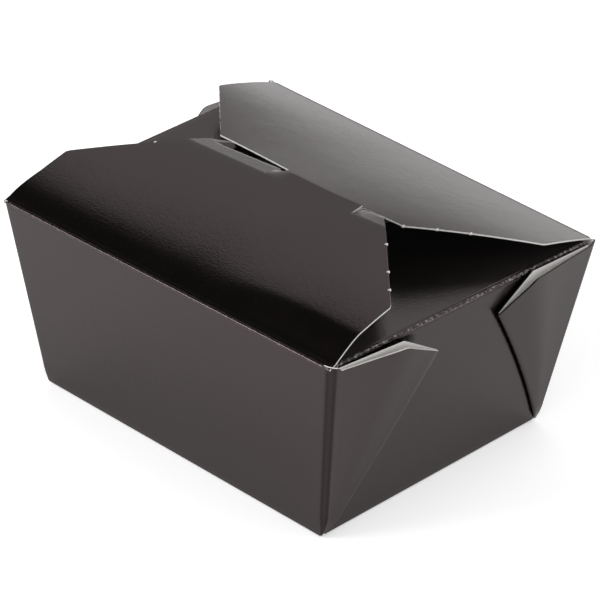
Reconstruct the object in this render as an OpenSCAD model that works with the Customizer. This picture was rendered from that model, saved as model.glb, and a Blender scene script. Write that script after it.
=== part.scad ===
// Folded paperboard takeaway box with web corners and a slot-and-tongue top.
// Millimetres. The origin is the middle of the underside of the base, X runs
// along the long walls, -Y is the front and +Z is up.

/* [Board] */
// Thickness of the paperboard
board_t = 0.45; // [0.35:0.05:0.6]
// Outside radius of the folds round the base
fold_r = 1.1; // [0.8:0.1:2]

/* [Tray] */
// Length of the base
base_len = 111; // [95:1:125]
// Width of the base
base_wid = 91; // [80:1:100]
// Length of the open rim
rim_len = 127.8; // [126:0.1:140]
// Width of the open rim
rim_wid = 109.5; // [104:0.1:116]
// Height of the rim above the table
height = 61.9; // [50:0.1:80]

/* [Web corners] */
// How far the free edge of a web falls between the corner and its shoulder
web_drop = 4.3; // [2:0.1:8]
// Distance of a web's shoulder from the corner edge
web_shoulder = 26.3; // [20:0.1:30]
// How much shorter the diagonal fold is than the corner edge
web_notch = 2.1; // [0:0.1:6]
// Open width of the pocket between the two layers of a web
pocket_w = 0.6; // [0.4:0.1:1.5]
// Angle at which the front right and back left webs stand off the end walls
web_lift_wide = 7; // [4:0.5:9]
// Angle at which the other two webs stand off the end walls
web_lift_close = 2; // [1:0.5:4]

/* [End flaps] */
// Length of an end flap from its crease to its free edge
end_flap_len = 47; // [35:1:52]
// Set-in of an end flap from the rim's corners
end_flap_inset = 3.5; // [3:0.1:6]
// How much an end flap narrows on each side towards its free edge
end_flap_taper = 8; // [4:1:14]
// Angle by which the end flaps droop into the box
end_flap_droop = 2; // [1:0.5:6]
// Radius of the creases along the rim
crease_r = 0.45; // [0.35:0.05:0.6]

/* [Long flaps] */
// Length of the front flap's cross crease beyond the nearer end of the slot
crease_spare = 13.2; // [10:0.1:18]
// Front flap: distance of the cross crease from the middle of the box
front_short = 6.9; // [5:0.1:9]
// Front flap: angle of its chord above the horizontal
front_rise = 16.7; // [14:0.1:19]
// Front flap: height of its bow over the chord
front_bow = 1.6; // [0.5:0.1:3]
// Back flap: distance of its shoulders from the middle of the box
back_short = 3.6; // [2:0.1:5]
// Back flap: angle of its chord above the horizontal
back_rise = 13; // [11:0.1:14]
// Back flap: height of its bow over the chord
back_bow = 0.9; // [0.4:0.1:2]
// Radius of the bead on which the back flap turns
hinge_r = 0.3; // [0.25:0.05:0.4]
// Gap between the bead of the back flap and the walls round it
hinge_gap = 0.3; // [0.25:0.05:0.6]

/* [Closure] */
// Middle of the slot, along the length of the box
slot_mid = 9; // [-10:0.1:10]
// Length of the slot and width of the lip over it
slot_len = 33.8; // [24:0.1:36]
// How far the lip stands beyond the cross crease
lip_len = 4.7; // [3:0.1:6]
// Width of the slot between the lip's edge and the strip
slot_w = 1.5; // [1.4:0.1:2.5]
// Depth of the strip that tucks under the back flap
strip_len = 15.5; // [12:0.1:18]
// Clearance between the strip and the shoulders of the back flap over it
shoulder_gap = 1.1; // [0.4:0.1:2]
// Side clearance of the tongue at the left end of the slot
tongue_side = 0.7; // [0.5:0.1:2]
// Side clearance of the tongue at the right end of the slot
tongue_spare = 3; // [0.5:0.1:4]
// Clearance of the tongue from the lip and from the edge of the slot
tongue_gap = 0.4; // [0.3:0.05:0.6]
// Inside radius of the bend where the tongue dives into the slot
tongue_bend = 1.2; // [1.1:0.1:1.6]
// Length of the tongue below its bend
tongue_drop = 4; // [2:0.1:6]
// Radius of the tongue's lower corners
tongue_corner = 3; // [1:0.1:4]

/* [Hidden] */
$fn = 96;
cut = 1;
arc_steps = 12;
drop_steps = 3;
bead_proud = 0.02;
lip_side = 0.1;
board_black = [0.17, 0.16, 0.16];
lean_x = (rim_len - base_len) / 2;
lean_y = (rim_wid - base_wid) / 2;
corner_len = norm([lean_x, lean_y, height]);
long_angle = acos(-lean_x / corner_len);
end_angle = acos(-lean_y / corner_len);
web_half = (270 - long_angle - end_angle) / 2;
web_stack = 2 * board_t + pocket_w;
fold_shift = board_t / 3;
front_half = rim_len / 2 - crease_r;
back_half = rim_len / 2 - board_t - hinge_gap;
front_hinge = [-rim_wid / 2 + crease_r, height - crease_r];
back_hinge = [rim_wid / 2 - hinge_r, height - hinge_r];
front_reach = (-front_short - front_hinge[0]) / cos(front_rise);
back_reach = (back_hinge[0] - back_short) / cos(back_rise);
crease_half = abs(slot_mid) + slot_len / 2 + crease_spare;
flap_side = front_reach - front_half + crease_half;

// Radius of an arc from its chord and its height over the chord
function arc_radius(chord, bow) = (chord * chord / 4 + bow * bow) / (2 * bow);

// Angle between the chord of an arc and the tangent at its end
function end_turn(chord, bow) = asin(chord / 2 / arc_radius(chord, bow));

// Unit vector in the YZ plane at an angle above the +Y direction
function heading(a) = [cos(a), sin(a)];

// Points of an arc about a centre, from one heading to another
function arc_points(centre, r, from, to) =
    [for (i = [0 : arc_steps]) centre + r * heading(from + (to - from) * i / arc_steps)];

// Points of a bowed flap's middle surface, from its crease outwards along +Y
function bowed_path(reach, rise, bow) =
    let (r = arc_radius(reach, bow),
         turn = end_turn(reach, bow),
         centre = reach / 2 * heading(rise) + (r - bow) * heading(rise - 90))
    arc_points(centre, r, rise + 90 + turn, rise + 90 - turn);

// Unit normal of a path at one of its points, on its left side
function path_normal(p, i) =
    let (a = p[max(i - 1, 0)], b = p[min(i + 1, len(p) - 1)], d = (b - a) / norm(b - a))
    [-d[1], d[0]];

// Closed outline of a sheet of board whose middle surface follows a path
function sheet_outline(p) =
    concat([for (i = [0 : len(p) - 1]) p[i] + board_t / 2 * path_normal(p, i)],
           [for (i = [len(p) - 1 : -1 : 0]) p[i] - board_t / 2 * path_normal(p, i)]);

// Angle above the horizontal at which a line from one point passes another
// at a distance to its left
function passing_angle(from, past, gap) =
    let (d = past - from)
    atan2(d[1], d[0]) + asin(gap / norm(d));

// The back flap is drawn from its bead, with the box turned round so that it
// too runs along +Y; this turns a point of the box the same way
function turned(p) = [back_hinge[0] - p[0], p[1] - back_hinge[1]];

// Ends of the two bowed panels: the strip runs on from the one, under the other
cross_crease = front_hinge + front_reach * heading(front_rise);
tongue_root = back_reach * heading(back_rise);
shoulder = [back_hinge[0] - tongue_root[0], back_hinge[1] + tongue_root[1]];
strip_angle = passing_angle(cross_crease, shoulder, -board_t - shoulder_gap);
lip_angle = front_rise - end_turn(front_reach, front_bow);
lip_corner = cross_crease + lip_len * heading(lip_angle) + board_t / 2 * heading(lip_angle - 90);
slot_edge = cross_crease + (lip_len + slot_w) * heading(strip_angle);
tongue_rise = passing_angle(tongue_root, turned(slot_edge), board_t + tongue_gap);
tongue_radius = norm(turned(lip_corner)) - tongue_gap - board_t / 2;

// Centre of the tongue's bend: it touches the tongue's root on the one side and
// the circle about the hinge that leads through the slot on the other
bend_r = tongue_bend + board_t / 2;
bend_from = tongue_root + bend_r * heading(tongue_rise - 90);
bend_along = bend_from * heading(tongue_rise);
bend_run = sqrt(pow(tongue_radius - bend_r, 2) - bend_from * bend_from + bend_along * bend_along)
    - bend_along;
bend_centre = bend_from + bend_run * heading(tongue_rise);
bend_end = atan2(bend_centre[1], bend_centre[0]);
drop_turn = tongue_drop / tongue_radius * 180 / PI;

tongue_path = concat(
    bowed_path(back_reach, back_rise, back_bow),
    arc_points(bend_centre, bend_r, tongue_rise + 90, bend_end),
    [for (i = [1 : drop_steps]) tongue_radius * heading(bend_end - drop_turn * i / drop_steps)]);
tongue_foot = tongue_radius * heading(bend_end - drop_turn);
tongue_half = (slot_len - tongue_side - tongue_spare) / 2;
tongue_mid = slot_mid + (tongue_side - tongue_spare) / 2;

// Solid with four leaning sides, set in by a margin from the tray's outside
module tapered_block(margin, radius) {
    intersection() {
        rotate([90, 0, 0])
            linear_extrude(height = rim_wid + 2 * cut, center = true)
                tapered_side(base_len, lean_x, margin, radius);
        rotate([90, 0, 90])
            linear_extrude(height = rim_len + 2 * cut, center = true)
                tapered_side(base_wid, lean_y, margin, radius);
    }
}

// Outline of the tray seen from one side, with rounded lower corners
module tapered_side(base, lean, margin, radius) {
    tilt = atan2(lean, height);
    foot = base / 2 + lean * margin / height - margin / cos(tilt);
    top = height + cut * (margin > 0 ? 1 : 0);
    head = foot + lean * (top - margin) / height;
    arc_x = foot - radius * tan((90 - tilt) / 2);
    side = arc_points([arc_x, margin + radius], radius, -90, -tilt);
    polygon(concat([[head, top]],
                   [for (i = [arc_steps : -1 : 0]) side[i]],
                   [for (i = [0 : arc_steps]) [-side[i][0], side[i][1]]],
                   [[-head, top]]));
}

// Base and four walls, open at the top
module tray() {
    difference() {
        tapered_block(0, fold_r);
        tapered_block(board_t, fold_r - board_t);
    }
}

// One web corner, folded to a doubled triangle against the outside of an end
// wall. It is drawn at the front right corner.
module web_corner(lift) {
    k = [lean_x, -lean_y, height] / corner_len;
    n = [height, 0, -lean_x] / norm([height, lean_x]);
    u = cross(k, n);
    fold_len = corner_len - web_notch;
    tip = fold_len * [sin(web_half), cos(web_half)];
    multmatrix([[u[0], k[0], n[0], base_len / 2],
                [u[1], k[1], n[1], -base_wid / 2],
                [u[2], k[2], n[2], 0]])
        rotate([0, -lift, 0])
            translate([0, 0, -board_t / 2]) {
                web_layer(tip);
                translate([0, 0, board_t + pocket_w])
                    web_layer(tip);
                corner_fold();
                diagonal_fold(fold_len);
            }
}

// One layer of a web, flat, with its corner edge along +Y
module web_layer(tip) {
    linear_extrude(height = board_t)
        polygon([[board_t, fold_r], [board_t, corner_len],
                 [web_shoulder, corner_len - web_drop], tip]);
}

// Rounded outer fold where the long wall turns into the outer layer
module corner_fold() {
    r = web_stack / 2;
    translate([r + fold_shift, fold_r, r])
        rotate([-90, 0, 0])
            cylinder(r = r, h = corner_len - fold_r);
}

// Rounded fold along the diagonal, which closes the pocket
module diagonal_fold(length) {
    r = web_stack / 2;
    rotate([0, 0, -web_half])
        translate([0, fold_r, r])
            rotate([-90, 0, 0])
                cylinder(r = r, h = length - fold_r);
}

// End flap with its crease, drawn at the right end
module end_flap() {
    half = rim_wid / 2 - end_flap_inset;
    tip_half = half - end_flap_taper;
    translate([rim_len / 2 - crease_r, 0, height - crease_r]) {
        rotate([0, -end_flap_droop, 0])
            translate([0, 0, -board_t / 2])
                linear_extrude(height = board_t)
                    polygon([[0, -half], [0, half],
                             [-end_flap_len, tip_half], [-end_flap_len, -tip_half]]);
        rotate([90, 0, 0])
            cylinder(r = crease_r, h = 2 * half, center = true);
    }
}

// Block that trims a bowed flap to its outline, seen square to its chord
module flap_outline(half, reach, rise) {
    end_half = half - (reach - flap_side);
    rotate([rise, 0, 0])
        linear_extrude(height = reach, center = true)
            polygon([[-half, -cut], [-half, flap_side], [-end_half, reach + cut],
                     [end_half, reach + cut], [half, flap_side], [half, -cut]]);
}

// Sheet of board whose section in the YZ plane follows a path
module swept_sheet(path, half) {
    rotate([90, 0, 90])
        linear_extrude(height = 2 * half, center = true)
            polygon(sheet_outline(path));
}

// Front flap: bowed panel, lip in line with it, and the slotted strip bent down
module front_flap() {
    strip_half = crease_half - strip_len;
    translate([0, front_hinge[0], front_hinge[1]]) {
        intersection() {
            swept_sheet(bowed_path(front_reach, front_rise, front_bow), front_half);
            flap_outline(front_half, front_reach, front_rise);
        }
        rotate([0, 90, 0])
            cylinder(r = crease_r, h = 2 * front_half, center = true);
    }
    translate([0, cross_crease[0], cross_crease[1]]) {
        rotate([0, 90, 0])
            cylinder(r = board_t / 2 + bead_proud, h = 2 * crease_half, center = true);
        rotate([strip_angle, 0, 0])
            translate([0, 0, -board_t / 2])
                linear_extrude(height = board_t)
                    difference() {
                        polygon([[-crease_half, 0], [-strip_half, strip_len],
                                 [strip_half, strip_len], [crease_half, 0]]);
                        translate([slot_mid - slot_len / 2, 0])
                            square([slot_len, lip_len + slot_w]);
                    }
        rotate([lip_angle, 0, 0])
            translate([slot_mid - slot_len / 2 + lip_side, 0, -board_t / 2])
                cube([slot_len - 2 * lip_side, lip_len, board_t]);
    }
}

// The folded sheet with everything but the back flap
module carton() {
    color(board_black) {
        difference() {
            union() {
                tray();
                web_corner(web_lift_wide);
                mirror([1, 0, 0]) web_corner(web_lift_close);
                mirror([0, 1, 0]) web_corner(web_lift_close);
                mirror([1, 0, 0]) mirror([0, 1, 0]) web_corner(web_lift_wide);
            }
            translate([-rim_len, back_hinge[0] - hinge_r - hinge_gap, back_hinge[1] - hinge_r - hinge_gap])
                cube([2 * rim_len, rim_wid, height]);
            translate([-rim_len, -rim_wid, height])
                cube([2 * rim_len, 2 * rim_wid, height]);
            translate([-rim_len, -rim_wid, -height])
                cube([2 * rim_len, 2 * rim_wid, height]);
        }
        end_flap();
        mirror([1, 0, 0]) end_flap();
        front_flap();
    }
}

// Back flap: bowed panel with the bead it turns on and the tongue in its middle
module tongue_flap() {
    color(board_black)
        translate([0, back_hinge[0], back_hinge[1]])
            mirror([0, 1, 0]) {
                intersection() {
                    swept_sheet(bowed_path(back_reach, back_rise, back_bow), back_half);
                    flap_outline(back_half, back_reach, back_rise);
                }
                intersection() {
                    swept_sheet(tongue_path, tongue_half + abs(tongue_mid));
                    tongue_outline();
                }
                rotate([0, 90, 0])
                    cylinder(r = hinge_r, h = 2 * back_half, center = true);
            }
}

// Block that trims the tongue to its width and rounds its lower corners
module tongue_outline() {
    foot = tongue_foot[1];
    top = bend_centre[1] + bend_r + cut;
    root = tongue_root[0] - 2 * cut;
    translate([tongue_mid, tongue_radius + board_t, 0])
        rotate([90, 0, 0])
            linear_extrude(height = tongue_radius + board_t - root)
                union() {
                    translate([-tongue_half, foot + tongue_corner])
                        square([2 * tongue_half, top - foot - tongue_corner]);
                    translate([tongue_corner - tongue_half, foot])
                        square([2 * (tongue_half - tongue_corner), tongue_corner + cut]);
                    for (side = [-1, 1])
                        translate([side * (tongue_half - tongue_corner), foot + tongue_corner])
                            circle(r = tongue_corner);
                }
}

carton();
tongue_flap();
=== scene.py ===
"""Looks of the folded takeaway box: the sheets with real folds, webs, cut edges and coated board."""

import math
from typing import NamedTuple

import bpy
import numpy as np
from mathutils import Matrix, Vector


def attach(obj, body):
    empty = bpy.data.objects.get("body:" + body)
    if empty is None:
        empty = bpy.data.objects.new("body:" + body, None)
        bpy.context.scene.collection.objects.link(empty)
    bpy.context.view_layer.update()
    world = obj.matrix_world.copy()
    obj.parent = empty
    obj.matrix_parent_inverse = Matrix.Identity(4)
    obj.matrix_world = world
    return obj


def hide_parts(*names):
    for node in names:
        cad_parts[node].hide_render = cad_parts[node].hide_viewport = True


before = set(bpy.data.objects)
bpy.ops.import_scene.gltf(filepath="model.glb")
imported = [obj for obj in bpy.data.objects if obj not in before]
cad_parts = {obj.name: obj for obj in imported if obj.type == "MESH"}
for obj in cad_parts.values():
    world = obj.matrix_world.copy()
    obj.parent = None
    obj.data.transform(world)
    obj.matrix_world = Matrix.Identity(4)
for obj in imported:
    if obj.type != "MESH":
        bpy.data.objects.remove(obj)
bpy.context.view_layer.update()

# Sizes in millimetres, the same as in the part's source
BOARD = 0.45
FOLD_R, FOOT_STEPS = 1.1, 7
BASE_LEN, BASE_WID = 111.0, 91.0
RIM_LEN, RIM_WID = 127.8, 109.5
HEIGHT = 61.9
CREASE_R = 0.45
END_FLAP_LEN, END_FLAP_INSET, END_FLAP_TAPER, END_FLAP_DROOP = 47.0, 3.5, 8.0, 2.0
FRONT_SHORT, FRONT_RISE, FRONT_BOW = 6.9, 16.7, 1.6
BACK_SHORT, BACK_RISE, BACK_BOW = 3.6, 13.0, 0.9
HINGE_R = 0.3
SLOT_MID, SLOT_LEN, LIP_LEN, SLOT_W = 9.0, 33.8, 4.7, 1.5
CREASE_SPARE, STRIP_LEN = 13.2, 15.5
TONGUE_SIDE, TONGUE_SPARE, TONGUE_BEND, TONGUE_DROP, TONGUE_CORNER = 0.7, 3.0, 1.2, 4.0, 3.0
TONGUE_RUN, TONGUE_TURN = 4.3, 88.0
MM = 0.001

LEAN_X = (RIM_LEN - BASE_LEN) / 2
LEAN_Y = (RIM_WID - BASE_WID) / 2
CORNER_LEN = math.sqrt(LEAN_X**2 + LEAN_Y**2 + HEIGHT**2)
FRONT_HINGE = np.array([-RIM_WID / 2 + CREASE_R, HEIGHT - CREASE_R])
BACK_HINGE = np.array([RIM_WID / 2 - HINGE_R, HEIGHT - HINGE_R])
FRONT_HALF = RIM_LEN / 2 - CREASE_R
BACK_HALF = RIM_LEN / 2 - BOARD - 0.3
FRONT_REACH = (-FRONT_SHORT - FRONT_HINGE[0]) / math.cos(math.radians(FRONT_RISE))
BACK_REACH = (BACK_HINGE[0] - BACK_SHORT) / math.cos(math.radians(BACK_RISE))
CREASE_HALF = abs(SLOT_MID) + SLOT_LEN / 2 + CREASE_SPARE
FLAP_SIDE = FRONT_REACH - FRONT_HALF + CREASE_HALF
SLOT_X = (SLOT_MID - SLOT_LEN / 2, SLOT_MID + SLOT_LEN / 2)
SLOT_DEPTH = LIP_LEN + SLOT_W

# Small departures of the folded board from the flat design
RIM_TWIST = 0.8
FRONT_SWELL, FRONT_DROP, FRONT_CURL, FRONT_SPARE = 0.8, 1.6, 1.65, 1.4
BACK_CROWN, BACK_SWELL = 0.9, 1.1
# Right side of the back flap, cut a little shorter than the left, and the end of its shoulder
BACK_SIDE, SHOULDER_END = 21.6, 36.5
# How far the shoulders slant outwards from their ends to the tongue, and over what length
SHOULDER_FALL, FALL_LEN = 2.1, 14.0
# The tongue's left side is cut in a little more than the design's
TONGUE_CUT = 0.9
TONGUE_X = (SLOT_X[0] + TONGUE_SIDE + TONGUE_CUT, SLOT_X[1] - TONGUE_SPARE)
# The lip's droop at its left end and over what share of its width, its side gaps and its rows
LIP_DROOP, DROOP_SHARE, LIP_CLEAR, LIP_ROWS = 1.3, 0.2, 0.05, 9
# Section of a pressed crease: points round its bend, points and reach of the panels beside it,
# height and width of the ridge, depth, place and width of the grooves, width of the wear and painted
# highlight
CREASE_BEND, CREASE_RUN = 11, 15
CREASE_REACH, CREASE_START = 1.8, 0.12
RIDGE, RIDGE_WIDE = 0.14, 0.45
GROOVE, GROOVE_PLACE, GROOVE_WIDE = 0.12, 0.95, 0.28
MARKING_WIDE = 0.55
# The front crease is worn less than the end ones, and its worn line is also a painted highlight along
# the crease
FRONT_WEAR_AND_HIGHLIGHT = 0.16
EDGE_ROUGH = 0.05
# Two faces that meet with a smaller cosine than this have a sharp edge between them
SHARP_COSINE = 0.6
# Places along the cut sides of the flaps, as a share from the free edge: 1 is the right side
FRONT_NICKS = ((1, 0.14), (1, 0.32), (1, 0.43), (-1, 0.155))
BACK_NICKS = ((1, 0.0), (1, 0.14), (1, 0.28))


def heading(degrees):
    return np.array([math.cos(math.radians(degrees)), math.sin(math.radians(degrees))])


def smooth(x):
    x = np.clip(x, 0, 1)
    return x * x * (3 - 2 * x)


def twisted(points):
    """The rim's two diagonals sit at slightly different heights."""
    x, y, z = points[..., 0], points[..., 1], points[..., 2]
    lift = RIM_TWIST * np.clip(z / HEIGHT, 0, 1) * (-x * y) / (RIM_LEN * RIM_WID / 4)
    moved = points.copy()
    moved[..., 2] = z + lift
    return moved


def arc_path(centre, radius, start, stop, steps):
    return [centre + radius * heading(a) for a in np.linspace(start, stop, steps)]


def bowed_path(reach, rise, bow, steps):
    """Middle surface of a bowed flap from its crease, along +Y."""
    radius = (reach**2 / 4 + bow**2) / (2 * bow)
    turn = math.degrees(math.asin(reach / 2 / radius))
    centre = reach / 2 * heading(rise) + (radius - bow) * heading(rise - 90)
    return arc_path(centre, radius, rise + 90 + turn, rise + 90 - turn, steps), rise - turn


def fillet(before, corner, after, radius, steps):
    """Arc that rounds a corner of a path, with its two tangent points."""
    a = (before - corner) / np.linalg.norm(before - corner)
    b = (after - corner) / np.linalg.norm(after - corner)
    half = math.acos(np.clip(np.dot(a, b), -1, 1)) / 2
    centre = corner + (a + b) / np.linalg.norm(a + b) * radius / math.sin(half)
    first = corner + a * radius / math.tan(half) - centre
    last = corner + b * radius / math.tan(half) - centre
    turn = math.atan2(first[0] * last[1] - first[1] * last[0], np.dot(first, last))
    angles = np.linspace(0, turn, steps)
    return [centre + np.array([first[0] * math.cos(t) - first[1] * math.sin(t),
                               first[0] * math.sin(t) + first[1] * math.cos(t)]) for t in angles]


def line(start, stop, steps):
    """Points between two ends, without the ends."""
    return [start + (stop - start) * i / (steps + 1) for i in range(1, steps + 1)]


def offset(path, distance):
    """A path moved to its left side by a distance, or by one distance for each point."""
    path = np.array(path)
    step = np.gradient(path, axis=0)
    step /= np.linalg.norm(step, axis=1)[:, None]
    return path + np.reshape(distance, (-1, 1)) * np.stack([-step[:, 1], step[:, 0]], 1)


def pressed_crease(before, corner, after, radius, depth):
    """Section of a crease from the one panel to the other: a low ridge between two grooves.
    depth is above zero where the outside of the fold lies to the left, and 1 for the deepest
    crease. Returns the points and the wear, which on the front crease is also a painted highlight."""
    bend = fillet(before, corner, after, radius, CREASE_BEND)
    to_first = (before - corner) / np.linalg.norm(before - corner)
    to_last = (after - corner) / np.linalg.norm(after - corner)
    run = np.linspace(CREASE_REACH, CREASE_START, CREASE_RUN)
    path = [bend[0] + to_first * t for t in run] + bend + [bend[-1] + to_last * t for t in run[::-1]]
    length = np.concatenate([[0], np.cumsum(np.linalg.norm(np.diff(path, axis=0), axis=1))])
    s = length - length[-1] / 2
    ridge = RIDGE * np.exp(-(s / RIDGE_WIDE) ** 2)
    groove = GROOVE * np.exp(-((np.abs(s) - GROOVE_PLACE) / GROOVE_WIDE) ** 2)
    return list(offset(path, depth * (ridge - groove))), np.exp(-(s / MARKING_WIDE) ** 4)


def spread(knots, counts):
    """Values that run through the knots with that many steps between each two."""
    values = [np.linspace(a, b, n, endpoint=False) for a, b, n in zip(knots[:-1], knots[1:], counts)]
    return np.concatenate(values + [[knots[-1]]])


def unit(vectors):
    return vectors / (np.linalg.norm(vectors, axis=-1, keepdims=True) + 1e-12)


class Board:
    """Collects sheets of board into one closed mesh: coat outside, white inside, cut edges."""

    COAT, INSIDE, CUT = 0, 1, 2

    def __init__(self):
        self.points, self.faces, self.finishes, self.wear_and_painted_light = [], [], [], []

    def add(self, outer, keep=None, wear_and_painted_light=None, coat_left=True, seam=False):
        """A sheet from outer, a grid of points on the coated side. keep says which cells are
        board, wear how worn each point is, with painted highlight and painted shade among it,
        coat_left which way round the grid runs, and seam that the first row is a crease and not a
        cut."""
        rows, columns = outer.shape[:2]
        keep = np.ones((rows - 1, columns - 1), bool) if keep is None else keep
        wear_and_painted_light = np.zeros((rows, columns)) if wear_and_painted_light is None else wear_and_painted_light
        across = outer[1:, 1:] - outer[:-1, :-1]
        along = outer[1:, :-1] - outer[:-1, 1:]
        side = np.cross(across, along) * (1 if coat_left else -1)
        side[~keep] = 0
        normals = np.zeros_like(outer)
        for i, j in ((0, 0), (0, 1), (1, 0), (1, 1)):
            normals[i:rows - 1 + i, j:columns - 1 + j] += unit(side)
        normals = unit(normals)
        inner = outer - BOARD * normals
        used = np.zeros((rows, columns), bool)
        for i, j in ((0, 0), (0, 1), (1, 0), (1, 1)):
            used[i:rows - 1 + i, j:columns - 1 + j] |= keep
        number = np.full((rows, columns), -1)
        number[used] = len(self.points) + np.arange(used.sum())
        count = int(used.sum())
        self.points += [tuple(p) for p in outer[used]] + [tuple(p) for p in inner[used]]
        self.wear_and_painted_light += list(wear_and_painted_light[used]) * 2
        for i, j in zip(*np.nonzero(keep)):
            ring = [number[i, j], number[i, j + 1], number[i + 1, j + 1], number[i + 1, j]]
            beside = ((i - 1, j), (i, j + 1), (i + 1, j), (i, j - 1))
            self.face(ring if coat_left else ring[::-1], self.COAT)
            self.face([c + count for c in (ring[::-1] if coat_left else ring)], self.INSIDE)
            for side_number, (ni, nj) in enumerate(beside):
                if 0 <= ni < rows - 1 and 0 <= nj < columns - 1 and keep[ni, nj]:
                    continue
                near, far = ring[side_number], ring[(side_number + 1) % 4]
                if coat_left:
                    near, far = far, near
                finish = self.COAT if seam and ni < 0 else self.CUT
                self.face([near, far, far + count, near + count], finish)

    def nick(self, place, side):
        """A scrap of board left where the blank was held in its sheet."""
        long, out, above = 0.55, 0.3, 0.02
        first = len(self.points)
        for up in (above, -BOARD):
            for x, y in ((-out, -long), (out, -long / 2), (out, long / 2), (-out, long)):
                self.points.append((place[0] + side * x, place[1] + y, place[2] + up))
                self.wear_and_painted_light.append(0.0)
        top = [first + i for i in range(4)]
        bottom = [corner + 4 for corner in top]
        rings = [top, bottom[::-1]]
        for i in range(4):
            j = (i + 1) % 4
            rings.append([top[j], top[i], bottom[i], bottom[j]])
        for ring in rings:
            self.face(ring if side > 0 else ring[::-1], self.CUT)

    def nicks(self, edges, places):
        """Nicks at shares of the cut edges, which are given by side."""
        for side, share in places:
            edge = edges[side]
            self.nick(edge[int(share * (len(edge) - 1))], side)

    def face(self, corners, finish):
        self.faces.append([int(c) for c in corners])
        self.finishes.append(finish)

    def build(self, name, finishes):
        mesh = bpy.data.meshes.new(name)
        points = twisted(np.array(self.points)) * MM
        mesh.from_pydata([tuple(p) for p in points], [], self.faces)
        for material in finishes:
            mesh.materials.append(material)
        mesh.polygons.foreach_set("material_index", self.finishes)
        mesh.polygons.foreach_set("use_smooth", [f != self.CUT for f in self.finishes])
        # The wear attribute also carries the painted highlight of the front crease and the painted
        # shade of the pressed corners
        worn_and_painted = mesh.attributes.new("wear_and_painted_light", "FLOAT", "POINT")
        worn_and_painted.data.foreach_set("value", np.array(self.wear_and_painted_light, np.float32))
        mark_sharp(mesh)
        mesh.update()
        piece = bpy.data.objects.new(name, mesh)
        bpy.context.scene.collection.objects.link(piece)
        return piece


def mark_sharp(mesh):
    """Edges between two finishes, and corners of one finish, stay sharp."""
    first = {}
    sharp = set()
    for polygon in mesh.polygons:
        for key in polygon.edge_keys:
            other = first.setdefault(key, polygon)
            bent = other.normal.dot(polygon.normal) < SHARP_COSINE
            if bent or other.material_index != polygon.material_index:
                sharp.add(key)
    flags = [tuple(sorted(e.vertices)) in sharp for e in mesh.edges]
    attribute = mesh.attributes.new("sharp_edge", "BOOLEAN", "EDGE")
    attribute.data.foreach_set("value", flags)


def foot_bend(base, lean):
    """Fold between the base and a wall, in a section from the middle outwards."""
    foot = np.array([base / 2, 0.0])
    rim = np.array([base / 2 + lean, HEIGHT])
    return fillet(np.array([0.0, 0.0]), foot, rim, FOLD_R, FOOT_STEPS)


def side_reach(base, lean, z):
    """Distance of a side's outer surface from the middle at a height, round fold included."""
    bend = np.array(foot_bend(base, lean))
    if z < bend[-1][1]:
        return float(np.interp(z, bend[:, 1], bend[:, 0]))
    return base / 2 + lean * z / HEIGHT


class Web(NamedTuple):
    """One web corner. Shoulders and tip are distances away from the corner's edge and along it."""

    slope: float
    inner: tuple
    outer: tuple
    tip: tuple
    opening: float
    bow: float
    band: float


# The web corners by the signs of their x and y: slope of the inner layer in degrees, shoulders
# of the inner and the outer layer, tip, opening of the pocket at the shoulder, bow of the
# diagonal fold and width of the pressed corner
WEBS = {
    (1, -1): Web(6.0, (26.3, 59.3), (25.4, 58.9), (37.9, 50.1), 1.5, -0.9, 1.0),
    (1, 1): Web(1.0, (27.3, 59.2), (27.1, 58.3), (38.1, 48.0), 1.9, 1.8, 0.25),
    (-1, 1): Web(1.2, (26.3, 56.2), (25.6, 58.8), (37.9, 49.6), 2.1, 0.6, 0.25),
    (-1, -1): Web(2.0, (26.8, 59.2), (26.2, 58.6), (38.0, 49.2), 1.0, 0.9, 0.25),
}
WEB_COLUMNS = {"corner": 14, "outer": 26, "fold": 9, "inner": 22}
WEB_COUNT = sum(WEB_COLUMNS.values())
# The layers stand apart by these gaps, which open over the first share of the corner's height
WEB_FOOT = 0.07
SEAT_GAP, START_GAP, FOLD_GAP = 0.06, 0.18, 0.3
# Where the shoulder lies, as a share of a layer's width, and how the pocket opens with height
SHOULDER, OPENING_POWER = 0.64, 1.7
# The outer and the inner layer end below the corner's end; the inner one starts off the edge
OUTER_SHORT, INNER_SHORT, INNER_START, INNER_GROWTH = 1.4, 1.2, 2.2, 16.0
# The pressed corner widens quickly at the foot and slowly after it, and more on the long wall
BAND_FOOT, BAND_GROWTH, BAND_BEHIND, BAND_BEND = 9.0, 0.5, 0.7, 0.35


def corner_band(count):
    """Section of a pressed corner for a band of length 1: a flat strip between two tight bends,
    as steps back along the one panel and on along the other."""
    t = np.linspace(0, 1, count // 2)
    bend = [(1 + BAND_BEND * ((1 - u) ** 2 - u**2), BAND_BEND * u**2) for u in t]
    return bend + [(q, p) for p, q in bend[::-1]]


CORNER_BAND = corner_band(WEB_COLUMNS["corner"])
# Wear across the pressed corner: below zero the coat is duller, a painted shade for the dark
# reflection band along the corner
CORNER_DULL_AND_SHADE = -np.array([0, 0, 0.3, 0.8, 1, 1, 0.6, 0.6, 1, 1, 0.8, 0.3, 0, 0])


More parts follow.
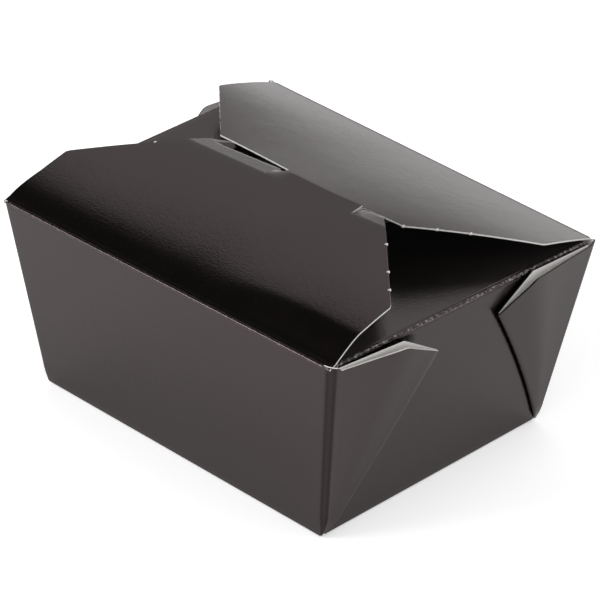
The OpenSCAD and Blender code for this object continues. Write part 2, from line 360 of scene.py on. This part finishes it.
class Corner:
    """Directions at one corner of the box: along its edge, out of the end wall, inward from the
    edge in the end wall's plane, and square off the edge in the long wall's plane."""

    def __init__(self, sx, sy):
        self.foot = np.array([sx * BASE_LEN / 2, sy * BASE_WID / 2, 0.0])
        self.along = np.array([sx * LEAN_X, sy * LEAN_Y, HEIGHT]) / CORNER_LEN
        self.out = np.array([sx * HEIGHT, 0, -LEAN_X]) / math.hypot(HEIGHT, LEAN_X)
        inward = np.cross(self.along, self.out)
        self.inward = -np.sign(inward[1] * sy) * inward
        wall = np.array([float(sx), 0, 0])
        self.wall = unit(wall - wall.dot(self.along) * self.along)

    def place(self, a, b, height):
        return self.foot + self.inward * a + self.along * b + self.out * height

    def places(self, a, b, height):
        return [self.place(*point) for point in zip(a, b, height)]


def layer_top(w, start, shoulder, tip):
    """Top edge of a layer at shares of its width: from its start by its shoulder to the tip."""
    knots = [0, SHOULDER, 1]
    points = zip(start, shoulder, tip)
    return [np.interp(w, knots, values) for values in points]


def web_row(sx, sy, v):
    """Coated surface of a web at a share v of the corner's height: round the corner from the
    long wall, out to the diagonal, round the fold and back against the end wall."""
    web, at = WEBS[(sx, sy)], Corner(sx, sy)
    near = min(1.0, v / WEB_FOOT)
    seat, start_gap, fold_gap = SEAT_GAP * near, START_GAP * near, FOLD_GAP * near
    layers = 2 * BOARD * near
    slope = math.tan(math.radians(web.slope))
    tip = np.array(web.tip)
    end = v * tip - np.array([web.bow * 4 * v * (1 - v), 0])

    band = web.band * min(1.0 + BAND_GROWTH * v, BAND_FOOT * v)
    behind = band + web.band * BAND_BEHIND * near
    tilt = math.atan(slope + web.opening / web.outer[0])
    ahead = math.cos(tilt) * at.inward + math.sin(tilt) * at.out
    vertex = at.place(0, v * CORNER_LEN, 0) + at.wall * (seat + layers + start_gap)
    row = [vertex - at.wall * (behind * p) + ahead * (band * q) for p, q in CORNER_BAND]

    w = np.linspace(0, 1, WEB_COLUMNS["outer"] + 1)[1:]
    reach = CORNER_BAND[-1][1] * math.cos(tilt)
    first, top_first = reach * band, reach * (1.0 + BAND_GROWTH) * web.band
    top_a, top_b = layer_top(w, (top_first, CORNER_LEN - OUTER_SHORT), web.outer, tip)
    a = first + (top_a - top_first) / (tip[0] - top_first) * (end[0] - first)
    gap = start_gap * (1 - w) + fold_gap * w
    gap += v**OPENING_POWER * web.opening * smooth_peak(w, SHOULDER)
    row += at.places(a, v * top_b, seat + a * slope + layers + gap)

    fold_r = (layers + fold_gap) / 2
    across = unit(np.array([tip[1], -tip[0]]))
    middle = seat + end[0] * slope + fold_r
    for angle in np.linspace(0, math.pi, WEB_COLUMNS["fold"] + 1)[1:]:
        a, b = end + across * fold_r * math.sin(angle)
        row.append(at.place(a, b, middle + fold_r * math.cos(angle)))

    w = np.linspace(1, 0, WEB_COLUMNS["inner"] + 1)[1:]
    first = min(INNER_START, INNER_GROWTH * v)
    top_a, top_b = layer_top(w, (INNER_START, CORNER_LEN - INNER_SHORT), web.inner, tip)
    a = first + (top_a - INNER_START) / (tip[0] - INNER_START) * (end[0] - first)
    row += at.places(a, v * top_b, seat + a * slope)
    return np.array(row)


def smooth_peak(w, top):
    """Rises in a straight line to a rounded peak and falls to zero at the fold."""
    rise = w / top
    fall = (1 - w) / (1 - top)
    k = 0.2
    rounded = -k * np.log(np.exp(-rise / k) + np.exp(-fall / k))
    return rounded + k * math.log(2) * np.exp(-((w - top) / k) ** 2)


# The long sheet: back wall, base, front wall, front flap and slotted strip
WALL_ROWS, BASE_ROWS, FLAP_ROWS = 26, 9, 46
MAIN_STEPS = (30, 24, 20)
# How far the back wall ends below the hinge's axis
HINGE_SEAT = 0.4
# The front crease: its bend and depth, the row of the flap that it aims at, room after it
FRONT_CREASE_R, FRONT_CREASE_DEPTH, CREASE_AIM, CREASE_ROOM = 0.6, 0.2, 4, 0.5
# The front flap is a little wider at its root, and on the left by more
ROOT_SPARE, SPARE_LEN = 0.5, 14.0
# Least width of the columns beside the slot's
SIDE_ROOM = 3.0
# Room for rounding when two depths are compared
NEARLY = 0.01
# Where the front flap's swell is highest, over what x it curls up, and over what length
SWELL_AT = 8.0
CURL_FROM, CURL_WIDE, CURL_LEN = 8.0, 40.0, 10.5


def long_path():
    """Section of the long sheet, from the top of the back wall to the cross crease: its panels
    in order, the wear of the front crease, also a painted highlight, and the slope at the end."""
    bend = foot_bend(BASE_WID, LEAN_Y)
    foot = np.array([BASE_WID / 2, 0.0])
    rim = np.array([RIM_WID / 2, HEIGHT])
    back_top = foot + (rim - foot) * (BACK_HINGE[1] - HINGE_SEAT) / HEIGHT
    flap, end_angle = bowed_path(FRONT_REACH, FRONT_RISE, FRONT_BOW, FLAP_ROWS)
    flap = offset(np.array(flap) + FRONT_HINGE, BOARD / 2)

    mirror = np.array([-1.0, 1.0])
    front_foot, up = foot * mirror, (rim - foot) * mirror
    run = flap[1] - flap[0]
    share = np.linalg.solve(np.array([up, -run]).T, flap[0] - front_foot)[0]
    corner = front_foot + share * up
    aim = flap[CREASE_AIM]
    crease, wear_and_painted_light = pressed_crease(front_foot, corner, aim, FRONT_CREASE_R, FRONT_CREASE_DEPTH)
    flap = [point for point in flap if point[0] > crease[-1][0] + CREASE_ROOM]

    back = [back_top] + line(back_top, bend[-1], WALL_ROWS) + [bend[-1]]
    front_bend = [point * mirror for point in bend]
    base = bend[-2::-1] + line(bend[0], front_bend[0], BASE_ROWS) + front_bend[:-1]
    front = front_bend[-1:] + line(front_bend[-1], crease[0], WALL_ROWS) + crease[:CREASE_RUN]
    panels = {"back": back, "base": base, "front": front, "crease": crease[CREASE_RUN:], "flap": flap}
    return panels, wear_and_painted_light, end_angle


def row_ends(tag, point):
    """Left and right end of a row across the base, the front crease or the front flap."""
    if tag == "base":
        half = side_reach(BASE_LEN, LEAN_X, point[1])
        return -half, half
    s = math.dist(point, FRONT_HINGE)
    half = FRONT_HALF - (s - FLAP_SIDE) if s > FLAP_SIDE else FRONT_HALF + ROOT_SPARE
    return -half - FRONT_SPARE * max(0.0, 1 - s / SPARE_LEN), half


def long_rows():
    """Rows of the long sheet up to the cross crease, each with its panel and its wear, which
    also holds painted highlight and painted shade, and the slope at the end."""
    panels, crease_marking, end_angle = long_path()
    top = {"back": panels["back"][0][1], "front": panels["front"][-1][1]}
    crease_end = panels["crease"][-1]
    path = [point for points in panels.values() for point in points]
    tags = [tag for tag, points in panels.items() for _ in points]
    worn_and_painted = np.zeros(len(path))
    crease_start = tags.index("crease") - CREASE_RUN
    # The front crease's wear, which also paints its thin highlight line
    worn_and_painted[crease_start:crease_start + len(crease_marking)] = FRONT_WEAR_AND_HIGHLIGHT * crease_marking

    rows, wear_and_painted_light = [], []
    for point, tag, use in zip(path, tags, worn_and_painted):
        y, z = point
        if tag in top:
            sy = 1 if tag == "back" else -1
            left, right = (web_row(sx, sy, z / top[tag]) for sx in (-1, 1))
        else:
            left, right = (np.tile([x, y, z], (WEB_COUNT, 1)) for x in row_ends(tag, point))
        main = main_columns(left[0][0], right[0][0], y, z)
        main[0], main[-1] = left[0], right[0]
        if tag == "flap":
            main[:, 2] += front_lift(main[:, 0], math.dist(point, crease_end))
        rows.append(np.concatenate([left[:0:-1], main, right[1:]]))
        use = np.full(len(rows[-1]), use)
        if tag in top:
            # The pressed corners' duller coat, a painted shade for their dark reflection band
            columns = np.arange(len(CORNER_DULL_AND_SHADE))
            use[WEB_COUNT - 1 - columns] = CORNER_DULL_AND_SHADE
            use[WEB_COUNT - 2 + len(main) + columns] = CORNER_DULL_AND_SHADE
        wear_and_painted_light.append(use)
    return rows, tags, wear_and_painted_light, end_angle


def long_sheet(board):
    rows, tags, wear_and_painted_light, end_angle = long_rows()
    first_main = WEB_COUNT - 1
    root = rows[-1][first_main:-first_main]
    outline = np.array([row for row, tag in zip(rows, tags) if tag == "flap"])
    strip, depths = strip_rows(root, end_angle)
    for grid in strip:
        edges = [np.tile(end, (first_main, 1)) for end in (grid[0], grid[-1])]
        rows.append(np.concatenate([edges[0], grid, edges[1]]))
        wear_and_painted_light.append(np.zeros(len(rows[-1])))
    tags += ["strip"] * len(strip)
    depths = [0.0] * (len(rows) - len(strip)) + depths

    points = np.array(rows)
    keep = np.ones((len(rows) - 1, points.shape[1] - 1), bool)
    slot = slice(first_main + MAIN_STEPS[0], first_main + MAIN_STEPS[0] + MAIN_STEPS[1])
    for i in range(len(rows) - 1):
        if tags[i] != tags[i + 1] or tags[i] not in ("back", "front"):
            keep[i, :first_main] = False
            keep[i, -first_main:] = False
        if tags[i + 1] == "strip" and depths[i + 1] <= SLOT_DEPTH + NEARLY:
            keep[i, slot] = False
    board.add(points, keep, np.array(wear_and_painted_light), seam=True)
    board.nicks({1: outline[::-1, -first_main - 1], -1: outline[::-1, first_main]}, FRONT_NICKS)
    lip(board, root[MAIN_STEPS[0]:MAIN_STEPS[0] + MAIN_STEPS[1] + 1], end_angle)


def lip(board, root, angle):
    """The lip that stays in line with the front flap; its left end droops a little."""
    rows = []
    across = np.linspace(0, 1, len(root))
    for s in np.linspace(0, LIP_LEN, LIP_ROWS):
        grid = root.copy()
        grid[:, 0] = np.clip(grid[:, 0], SLOT_X[0] + LIP_CLEAR, SLOT_X[1] - LIP_CLEAR)
        step = s * heading(angle)
        droop = LIP_DROOP * (s / LIP_LEN) ** 1.3 * np.clip(1 - across / DROOP_SHARE, 0, 1) ** 1.5
        grid[:, 1] += step[0]
        grid[:, 2] += step[1] - droop
        rows.append(grid)
    board.add(np.array(rows))


def front_lift(x, s):
    """How far the front flap stands off its plain bow: it swells next to its crease, drops
    towards the left end of the cross crease and curls up at the right end."""
    swell = FRONT_SWELL * s / SWELL_AT * math.exp(1 - s / SWELL_AT)
    drop = FRONT_DROP * np.clip(-x / CREASE_HALF, 0, 1.2) * s / FRONT_REACH
    curl = FRONT_CURL * smooth((x - CURL_FROM) / CURL_WIDE) * smooth(s / CURL_LEN)
    return swell - drop + curl


def main_columns(left, right, y, z):
    """A row of points across the long sheet; its columns keep to the ends of the slot."""
    low = max(SLOT_X[0], left + SIDE_ROOM)
    high = min(SLOT_X[1], right - SIDE_ROOM)
    xs = spread([left, low, high, right], MAIN_STEPS)
    return np.stack([xs, np.full(len(xs), y), np.full(len(xs), z)], 1)


# The strip falls by LEVEL degrees first and then turns down by DOWN more, at the depth TURN_AT
# and over the length TURN_LEN. Towards the right both grow by their slants
LEVEL, LEVEL_SLANT, LEVEL_EASE = 8.5, 1.0, 0.4
DOWN, DOWN_SLANT, DOWN_PRESSED = 17.0, 11.0, 16.0
TURN_AT, TURN_LEN = 4.6, 1.1
# Between these shares of its width, with soft ends, the tongue presses the strip down
PRESSED, PRESSED_SOFT, PRESSED_EARLY = (0.385, 0.795), 0.035, 2.2
# Left of the tongue the strip turns later towards the right, and at its left end later again
DELAY_GROWTH, DELAY_END = 4.0, 0.42
LEFT_DELAY, LEFT_X, LEFT_SOFT = 4.5, -33.5, 3.0
STRIP_STEPS = (16, 14)
# How the strip's sides are cut: on the right at a slope, on the left by depth and inset
STRIP_TAPER = 1.05
STRIP_CUT = ([0, 6, 7.5, STRIP_LEN], [0, 2.7, 4.6, 13.0])
CUT_ROOM = 2


def turn_delay(x, share):
    """How much deeper than TURN_AT the strip turns down at each column, and how far the tongue
    presses it there."""
    start = smooth((share - PRESSED[0]) / PRESSED_SOFT)
    pressed = start * (1 - smooth((share - PRESSED[1]) / PRESSED_SOFT))
    delay = DELAY_GROWTH * np.minimum(share, DELAY_END) * (1 - start) - PRESSED_EARLY * pressed
    return delay + LEFT_DELAY * smooth((LEFT_X - x) / LEFT_SOFT), pressed


def strip_rows(root, start_angle):
    """The strip beyond the cross crease: nearly level at first, then turned down under the back
    flap's shoulders, steeper towards the right."""
    depths = spread([0, SLOT_DEPTH, STRIP_LEN], STRIP_STEPS)[1:].tolist()
    share = np.clip((root[:, 0] + CREASE_HALF) / (2 * CREASE_HALF), 0, 1)
    delay, pressed = turn_delay(root[:, 0], share)
    level = -LEVEL - LEVEL_SLANT * share
    down = DOWN + DOWN_SLANT * share + DOWN_PRESSED * pressed
    rows, last, place = [], 0.0, root[:, 1:].copy()
    for depth in depths:
        middle = (depth + last) / 2
        angle = level - down * smooth((middle - TURN_AT - delay) / TURN_LEN)
        angle = start_angle + (angle - start_angle) * min(1.0, middle / LEVEL_EASE)
        turn = np.radians(angle)
        place = place + (depth - last) * np.stack([np.cos(turn), np.sin(turn)], 1)
        left = np.interp(depth, *STRIP_CUT) - CREASE_HALF
        right = CREASE_HALF - STRIP_TAPER * depth
        low, high = SLOT_X
        if depth > SLOT_DEPTH + NEARLY:
            low, high = max(low, left + CUT_ROOM), min(high, right - CUT_ROOM)
        xs = spread([left, low, high, right], MAIN_STEPS)
        rows.append(np.stack([xs, place[:, 0], place[:, 1]], 1))
        last = depth
    return rows, depths


# The end walls with their creases and end flaps
END_STEPS = (5, 70, 5)
END_WALL_ROWS, END_FLAP_ROWS = 24, 20
# Room between an end wall's sides and the long walls, more at the front of the right one above
# a height, how far its sides are tucked in, and the width of the columns beside an end flap
END_CLEAR, END_FRONT, END_FOOT = 0.6, 0.7, 6.0
END_TUCK, END_SPARE = 0.4, 1.0
END_CREASE_R, END_CREASE_DEPTH = 0.7, -1


def end_sheet(board, side):
    bend = foot_bend(BASE_LEN, LEAN_X)
    foot = np.array([BASE_LEN / 2, 0.0])
    rim = np.array([RIM_LEN / 2, HEIGHT])
    flap_end = rim - END_FLAP_LEN * heading(END_FLAP_DROOP)
    crease, crease_marking = pressed_crease(foot, rim, flap_end, END_CREASE_R, END_CREASE_DEPTH)
    wall = [bend[-1]] + line(bend[-1], crease[0], END_WALL_ROWS)
    flap = line(crease[-1], flap_end, END_FLAP_ROWS) + [flap_end]
    parts = [("fold", bend[1:-1]), ("wall", wall), ("crease", crease), ("flap", flap)]
    rows, tags, wear_and_painted_light = [], [], []
    flap_half = RIM_WID / 2 - END_FLAP_INSET
    for tag, points in parts:
        for i, (x, z) in enumerate(points):
            outer = side_reach(BASE_WID, LEAN_Y, z) - END_CLEAR
            inset = outer * flap_half / (RIM_WID / 2 - END_CLEAR)
            if tag == "flap":
                inset = flap_half - END_FLAP_TAPER * math.dist((x, z), crease[-1]) / END_FLAP_LEN
                outer = inset + END_SPARE
            on_wall = side > 0 and tag in ("fold", "wall")
            front = END_FRONT * min(1.0, z / END_FOOT) if on_wall else 0.0
            ys = spread([front - outer, -inset, inset, outer], END_STEPS)
            xs = np.full(len(ys), side * x)
            xs[[0, -1]] -= side * END_TUCK
            rows.append(np.stack([xs, ys, np.full(len(ys), z)], 1))
            tags.append(tag)
            wear_and_painted_light.append(np.full(len(ys), crease_marking[i] if tag == "crease" else 0.0))
    keep = np.ones((len(rows) - 1, len(ys) - 1), bool)
    for i in range(len(rows) - 1):
        if tags[i + 1] in ("crease", "flap") and tags[i] != "wall":
            keep[i, :END_STEPS[0]] = False
            keep[i, -END_STEPS[2]:] = False
    board.add(np.array(rows), keep, np.array(wear_and_painted_light), coat_left=side > 0)


# The back flap with its bead, bowed panel and tongue
BACK_STEPS = (30, 30, 22)
BACK_ROWS = 44
# Rows of the tongue along its run, round its bend and down, and its columns beside the cut
TONGUE_ROWS, TONGUE_MARGIN = (14, 12, 8), 1
BEAD_R, BEAD_SHORT, BEAD_WEAR = 0.33, 0.6, 0.4
BEAD_ROWS, BEAD_STEPS = 60, 24


def back_path():
    """Section of the back flap and its tongue from the hinge, the panel's count of points and
    its slope at the free edge."""
    panel, rise = bowed_path(BACK_REACH, BACK_RISE, BACK_BOW, BACK_ROWS)
    bend_r = TONGUE_BEND + BOARD / 2
    start = panel[-1] + TONGUE_RUN * heading(rise)
    centre = start + bend_r * heading(rise - 90)
    run, turn, drop = TONGUE_ROWS
    tongue = line(panel[-1], start, run)
    tongue += arc_path(centre, bend_r, rise + 90, rise + 90 - TONGUE_TURN, turn)
    down = TONGUE_DROP * heading(rise - TONGUE_TURN)
    tongue += [tongue[-1] + down * i / drop for i in range(1, drop + 1)]
    return offset(panel + tongue, BOARD / 2), len(panel), rise


def panel_row(s):
    """Columns of the back flap's panel at a distance from the hinge, with its crown, and how
    far its free edge slants out."""
    left = BACK_HALF - max(0.0, s - FLAP_SIDE)
    right_slope = (BACK_HALF - SHOULDER_END) / (BACK_REACH - BACK_SIDE)
    right = BACK_HALF - max(0.0, s - BACK_SIDE) * right_slope
    xs = spread([-left, TONGUE_X[0], TONGUE_X[1], right], BACK_STEPS)
    on_left = (TONGUE_X[0] - xs) / (TONGUE_X[0] + left)
    on_right = (xs - TONGUE_X[1]) / (right - TONGUE_X[1])
    slant = 1 - np.clip(np.maximum(on_left, on_right), 0, 1)
    swell = np.clip(-xs / BACK_HALF, 0, 1) ** 1.5 * math.sin(math.pi * s / BACK_REACH)
    return xs, crown(xs, s, left) + BACK_SWELL * swell, slant


def tongue_row(s, left_over, half):
    """Columns of the tongue, with its rounded corners, and its crown."""
    inside = max(0.0, TONGUE_CORNER - left_over)
    cut = TONGUE_CORNER - math.sqrt(max(0.0, TONGUE_CORNER**2 - inside**2))
    low, high = TONGUE_X[0] + cut, TONGUE_X[1] - cut
    xs = spread([low - TONGUE_MARGIN, low, high, high + TONGUE_MARGIN], BACK_STEPS)
    return xs, crown(xs, s, half), np.ones(len(xs))


def crown(xs, s, half):
    return BACK_CROWN * (0.5 - (xs / half) ** 2) * min(1.0, s / BACK_REACH) ** 2


def back_flap(board):
    path, count, rise = back_path()
    total = np.concatenate([[0], np.cumsum(np.linalg.norm(np.diff(path, axis=0), axis=1))])
    half = BACK_HALF - max(0.0, total[count - 1] - FLAP_SIDE)
    rows = []
    for i, (point, s) in enumerate(zip(path, total)):
        if i < count:
            xs, up, slant = panel_row(s)
        else:
            xs, up, slant = tongue_row(s, total[-1] - s, half)
        fall = SHOULDER_FALL * np.clip((s - BACK_REACH + FALL_LEN) / FALL_LEN, 0, 1) * slant
        run = point + np.outer(fall, heading(rise))
        rows.append(np.stack([xs, BACK_HINGE[0] - run[:, 0], BACK_HINGE[1] + run[:, 1] + up], 1))
    rows = np.array(rows)
    keep = np.ones((len(rows) - 1, rows.shape[1] - 1), bool)
    keep[count - 1:, :BACK_STEPS[0]] = False
    keep[count - 1:, -BACK_STEPS[2]:] = False
    roughen(rows[:count, 0])
    board.add(rows, keep, coat_left=False, seam=True)
    board.nicks({1: rows[count - 1::-1, -1]}, BACK_NICKS)
    bead(board)


def roughen(edge):
    """Torn fibres along a cut side: its points move a little in and out."""
    edge[:, 0] += EDGE_ROUGH * np.random.default_rng(4).normal(size=len(edge))


def bead(board):
    """Rounded crease that the flap turns on, a closed roll round the hinge's axis."""
    xs = np.linspace(-BACK_HALF + BEAD_SHORT, BACK_HALF - BEAD_SHORT, BEAD_ROWS)
    angles = np.linspace(0, 2 * math.pi, BEAD_STEPS, endpoint=False)
    first = len(board.points)
    for x in xs:
        for angle in angles:
            y, z = BACK_HINGE + BEAD_R * np.array([math.cos(angle), math.sin(angle)])
            board.points.append((x, y, z))
            board.wear_and_painted_light.append(BEAD_WEAR)
    rings = [[first + i * BEAD_STEPS + j for j in range(BEAD_STEPS)] for i in range(BEAD_ROWS)]
    for ring, after in zip(rings[:-1], rings[1:]):
        for j in range(BEAD_STEPS):
            k = (j + 1) % BEAD_STEPS
            board.face([ring[j], ring[k], after[k], after[j]], board.COAT)
    board.face(rings[0][::-1], board.COAT)
    board.face(rings[-1], board.COAT)


# Materials
def shader(name, roughness, ior=1.5, tint=(1, 1, 1)):
    material = bpy.data.materials.new(name)
    material.use_nodes = True
    nodes = material.node_tree.nodes
    principled = nodes["Principled BSDF"]
    principled.inputs["Roughness"].default_value = roughness
    principled.inputs["IOR"].default_value = ior
    principled.inputs["Specular Tint"].default_value = (*tint, 1)
    return material, nodes, material.node_tree.links, principled


def noise(nodes, links, scale, detail=2.0, rough=0.5):
    texture = nodes.new("ShaderNodeTexNoise")
    place = nodes.new("ShaderNodeTexCoord")
    texture.inputs["Scale"].default_value = scale
    texture.inputs["Detail"].default_value = detail
    texture.inputs["Roughness"].default_value = rough
    links.new(place.outputs["Object"], texture.inputs["Vector"])
    return texture


def ramp(nodes, links, source, stops):
    node = nodes.new("ShaderNodeValToRGB")
    links.new(source, node.inputs["Fac"])
    elements = node.color_ramp.elements
    while len(elements) < len(stops):
        elements.new(0.5)
    for element, (place, color) in zip(elements, stops):
        element.position = place
        element.color = (*color, 1)
    return node.outputs["Color"]


def bump(nodes, links, texture, strength, distance):
    node = nodes.new("ShaderNodeBump")
    node.inputs["Strength"].default_value = strength
    node.inputs["Distance"].default_value = distance
    links.new(texture.outputs["Fac"], node.inputs["Height"])
    return node


def coated():
    material, nodes, links, principled = shader("coated_black", 0.15, 1.62, (1, 0.76, 0.77))
    # Wear above zero shows the fibre through the coat in small cracks, on the front crease also a
    # painted highlight line; below zero dulls the coat, a painted shade on the pressed corners
    worn_and_painted = nodes.new("ShaderNodeAttribute")
    worn_and_painted.attribute_name = "wear_and_painted_light"
    dull_and_shade = nodes.new("ShaderNodeMapRange")
    dull_and_shade.inputs["From Min"].default_value = -1.0
    dull_and_shade.inputs["From Max"].default_value = 0.0
    dull_and_shade.inputs["To Min"].default_value = 0.3
    dull_and_shade.inputs["To Max"].default_value = 0.5
    links.new(worn_and_painted.outputs["Fac"], dull_and_shade.inputs["Value"])
    links.new(dull_and_shade.outputs["Result"], principled.inputs["Specular IOR Level"])
    cracks = noise(nodes, links, 900.0, 4.0, 0.7)
    total = nodes.new("ShaderNodeMath")
    total.operation = "MULTIPLY"
    total.use_clamp = True
    spots = ramp(nodes, links, cracks.outputs["Fac"], [(0.5, (0, 0, 0)), (0.62, (1, 1, 1))])
    links.new(worn_and_painted.outputs["Fac"], total.inputs[0])
    links.new(spots, total.inputs[1])
    mottle = noise(nodes, links, 60.0, 5.0, 0.6)
    blacks = [(0.3, (0.0026, 0.0021, 0.0019)), (0.7, (0.0036, 0.003, 0.0027))]
    dark = ramp(nodes, links, mottle.outputs["Fac"], blacks)
    mix = nodes.new("ShaderNodeMix")
    mix.data_type = "RGBA"
    links.new(total.outputs[0], mix.inputs["Factor"])
    links.new(dark, mix.inputs["A"])
    mix.inputs["B"].default_value = (0.3, 0.28, 0.27, 1)
    links.new(mix.outputs["Result"], principled.inputs["Base Color"])
    # Fibre grain under the coat, and a soft waviness
    grain = noise(nodes, links, 1600.0, 3.0, 0.6)
    wave = noise(nodes, links, 70.0, 2.0, 0.5)
    broad = bump(nodes, links, wave, 0.1, 0.0006)
    fine = bump(nodes, links, grain, 0.4, 0.00015)
    links.new(broad.outputs["Normal"], fine.inputs["Normal"])
    links.new(fine.outputs["Normal"], principled.inputs["Normal"])
    return material


def paper(name, light, dark, scale):
    material, nodes, links, principled = shader(name, 0.75)
    fibres = noise(nodes, links, scale, 4.0, 0.65)
    color = ramp(nodes, links, fibres.outputs["Fac"], [(0.3, dark), (0.7, light)])
    links.new(color, principled.inputs["Base Color"])
    grain = bump(nodes, links, fibres, 0.2, 0.0001)
    links.new(grain.outputs["Normal"], principled.inputs["Normal"])
    return material


finishes = [
    coated(),
    paper("board_white", (0.84, 0.83, 0.81), (0.78, 0.77, 0.75), 500.0),
    paper("cut_edge", (0.86, 0.85, 0.83), (0.66, 0.64, 0.62), 1200.0),
]

tray = Board()
long_sheet(tray)
end_sheet(tray, 1)
end_sheet(tray, -1)
carton = tray.build("carton_sheet", finishes)
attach(carton, "carton")
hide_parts("carton")

lid = Board()
back_flap(lid)
flap = lid.build("tongue_flap_sheet", finishes)
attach(flap, "tongue_flap")
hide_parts("tongue_flap")


# Direction of the black panel, which the front flap mirrors
PANEL = (-0.55, -0.25, 0.8)
# Camera, fitted to the corner points of the photograph
AZIMUTH, ELEVATION, ROLL = 42.7, 30.44, 2.56
DISTANCE, LENS = 1.06622, 218.85
TARGET = Vector((-0.00435, 0.00656, 0.030))


def add_camera():
    data = bpy.data.cameras.new("camera")
    data.lens = LENS
    data.sensor_width = 36
    camera = bpy.data.objects.new("camera", data)
    bpy.context.scene.collection.objects.link(camera)
    a, e, r = (math.radians(v) for v in (AZIMUTH, ELEVATION, ROLL))
    back = Vector((math.sin(a) * math.cos(e), -math.cos(a) * math.cos(e), math.sin(e)))
    right = Vector((math.cos(a), math.sin(a), 0))
    up = back.cross(right)
    x = math.cos(r) * right + math.sin(r) * up
    y = math.cos(r) * up - math.sin(r) * right
    matrix = Matrix((x, y, back)).transposed().to_4x4()
    matrix.translation = TARGET + DISTANCE * back
    camera.matrix_world = matrix
    bpy.context.scene.camera = camera


def add_floor():
    """A white floor that glows a little for the camera and less in reflections."""
    mesh = bpy.data.meshes.new("floor")
    half = 3.0
    corners = [(-half, -half, 0), (half, -half, 0), (half, half, 0), (-half, half, 0)]
    mesh.from_pydata(corners, [], [(0, 1, 2, 3)])
    floor = bpy.data.objects.new("floor", mesh)
    bpy.context.scene.collection.objects.link(floor)
    floor.location.z = -0.0001
    material = bpy.data.materials.new("floor_white")
    material.use_nodes = True
    nodes, links = material.node_tree.nodes, material.node_tree.links
    principled = nodes["Principled BSDF"]
    principled.inputs["Base Color"].default_value = (0.93, 0.93, 0.93, 1)
    principled.inputs["Roughness"].default_value = 1.0
    principled.inputs["Specular IOR Level"].default_value = 0.0
    path = nodes.new("ShaderNodeLightPath")
    glow = nodes.new("ShaderNodeMath")
    glow.operation = "MULTIPLY_ADD"
    glow.inputs[1].default_value = 0.45
    links.new(path.outputs["Is Camera Ray"], glow.inputs[0])
    mirrored = nodes.new("ShaderNodeMath")
    mirrored.operation = "MULTIPLY"
    mirrored.inputs[1].default_value = 0.08
    links.new(path.outputs["Is Glossy Ray"], mirrored.inputs[0])
    links.new(mirrored.outputs[0], glow.inputs[2])
    principled.inputs["Emission Color"].default_value = (1, 1, 1, 1)
    links.new(glow.outputs[0], principled.inputs["Emission Strength"])
    mesh.materials.append(material)


def add_light(name, place, target, size, power):
    data = bpy.data.lights.new(name, "AREA")
    data.shape = "RECTANGLE"
    data.size, data.size_y = size
    data.energy = power
    light = bpy.data.objects.new(name, data)
    light.location = place
    light.rotation_euler = (Vector(target) - Vector(place)).to_track_quat("-Z", "Y").to_euler()
    bpy.context.scene.collection.objects.link(light)


def add_world():
    """A studio with pale grey walls and a black panel overhead; the camera sees plain white."""
    world = bpy.data.worlds.new("studio")
    bpy.context.scene.world = world
    world.use_nodes = True
    nodes, links = world.node_tree.nodes, world.node_tree.links
    background = nodes["Background"]
    place = nodes.new("ShaderNodeTexCoord")
    split = nodes.new("ShaderNodeSeparateXYZ")
    links.new(place.outputs["Generated"], split.inputs[0])
    levels = [(0.0, 1.0), (0.07, 1.0), (0.18, 0.7), (0.3, 0.66), (0.66, 0.65), (0.75, 1.0)]
    sky = ramp(nodes, links, split.outputs["Z"], [(at, (level,) * 3) for at, level in levels])
    panel = nodes.new("ShaderNodeVectorMath")
    panel.operation = "DOT_PRODUCT"
    panel.inputs[1].default_value = Vector(PANEL).normalized()
    links.new(place.outputs["Generated"], panel.inputs[0])
    edge = [(0.858, 1.0), (0.885, 0.38), (0.915, 0.02)]
    shade = ramp(nodes, links, panel.outputs["Value"], [(at, (level,) * 3) for at, level in edge])
    lit = nodes.new("ShaderNodeMix")
    lit.data_type = "RGBA"
    lit.blend_type = "MULTIPLY"
    lit.inputs["Factor"].default_value = 1.0
    links.new(sky, lit.inputs["A"])
    links.new(shade, lit.inputs["B"])
    path = nodes.new("ShaderNodeLightPath")
    mix = nodes.new("ShaderNodeMix")
    mix.data_type = "RGBA"
    links.new(path.outputs["Is Camera Ray"], mix.inputs["Factor"])
    links.new(lit.outputs["Result"], mix.inputs["A"])
    mix.inputs["B"].default_value = (1, 1, 1, 1)
    links.new(mix.outputs["Result"], background.inputs["Color"])
    background.inputs["Strength"].default_value = 1.0


add_camera()
add_floor()
add_world()
add_light("key", (-0.75, -1.2, 0.75), (0, 0, 0.03), (0.8, 0.8), 12.5)
add_light("back_panel", (-1.0, 1.35, 0.1), (0, 0, 0.06), (2.4, 0.2), 0.8)

bpy.context.scene.view_settings.view_transform = "Standard"
